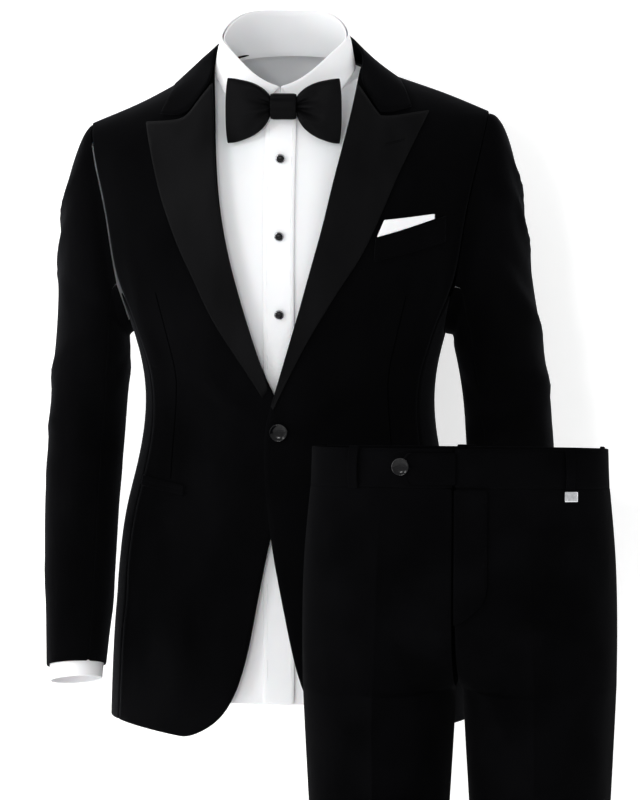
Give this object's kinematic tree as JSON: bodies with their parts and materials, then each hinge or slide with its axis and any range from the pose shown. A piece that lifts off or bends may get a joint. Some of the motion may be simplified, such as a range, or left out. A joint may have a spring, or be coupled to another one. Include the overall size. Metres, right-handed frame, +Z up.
{
  "type": "tuxedo",
  "caption": "Evening suit worn by no one: hollow velvet dinner jacket with satin peak lapels over a dress shirt and bow tie, with matching trousers standing in front.",
  "frame": {"origin": "base of the neck, midway between the shoulders, where the wearer's shoulders hold the jacket and shirt", "axes": "+Z up along the garment's height, the front faces -Y, the wearer's left is +X"},
  "size_m": [0.6599, 0.4778, 1.5192],
  "materials": {
    "velvet": "matt velvet nap",
    "satin": "satin",
    "shirting": "plain weave",
    "wool": "fine matt wool",
    "button": "polished",
    "metal": "polished"
  },
  "bodies": {
    "root": {"belt_loop_1": "wool", "belt_loop_2": "wool", "belt_loop_3": "wool", "belt_loop_4": "wool", "belt_loop_5": "wool", "bow_knot": "satin", "bow_wing_left": "satin", "bow_wing_right": "satin", "breast_welt": "velvet", "front_button": "button", "hip_jet_lower_left": "velvet", "hip_jet_lower_right": "velvet", "hip_jet_upper_left": "velvet", "hip_jet_upper_right": "velvet", "hip_plate": "metal", "jacket_back_left": "velvet", "jacket_back_right": "velvet", "jacket_collar": "velvet", "jacket_front_left": "velvet", "jacket_front_right": "velvet", "jacket_side_left": "velvet", "jacket_side_right": "velvet", "lapel_left": "satin", "lapel_right": "satin", "pocket_square": "shirting", "shirt_back": "shirting", "shirt_collar_leaf": "shirting", "shirt_collar_stand": "shirting", "shirt_cuff_left": "shirting", "shirt_cuff_right": "shirting", "shirt_front_left": "shirting", "shirt_front_right": "shirting", "shirt_placket": "shirting", "shirt_side_left": "shirting", "shirt_side_right": "shirting", "shirt_sleeve_left": "shirting", "shirt_sleeve_right": "shirting", "shirt_yoke": "shirting", "sleeve_top_left": "velvet", "sleeve_top_right": "velvet", "sleeve_under_left": "velvet", "sleeve_under_right": "velvet", "stud_1": "button", "stud_2": "button", "stud_3": "button", "trouser_back_left": "wool", "trouser_back_right": "wool", "trouser_button": "button", "trouser_fly": "wool", "trouser_front_left": "wool", "trouser_front_right": "wool", "waistband_left": "wool", "waistband_right": "wool", "waistband_tab": "wool"}
  },
  "joints": []
}
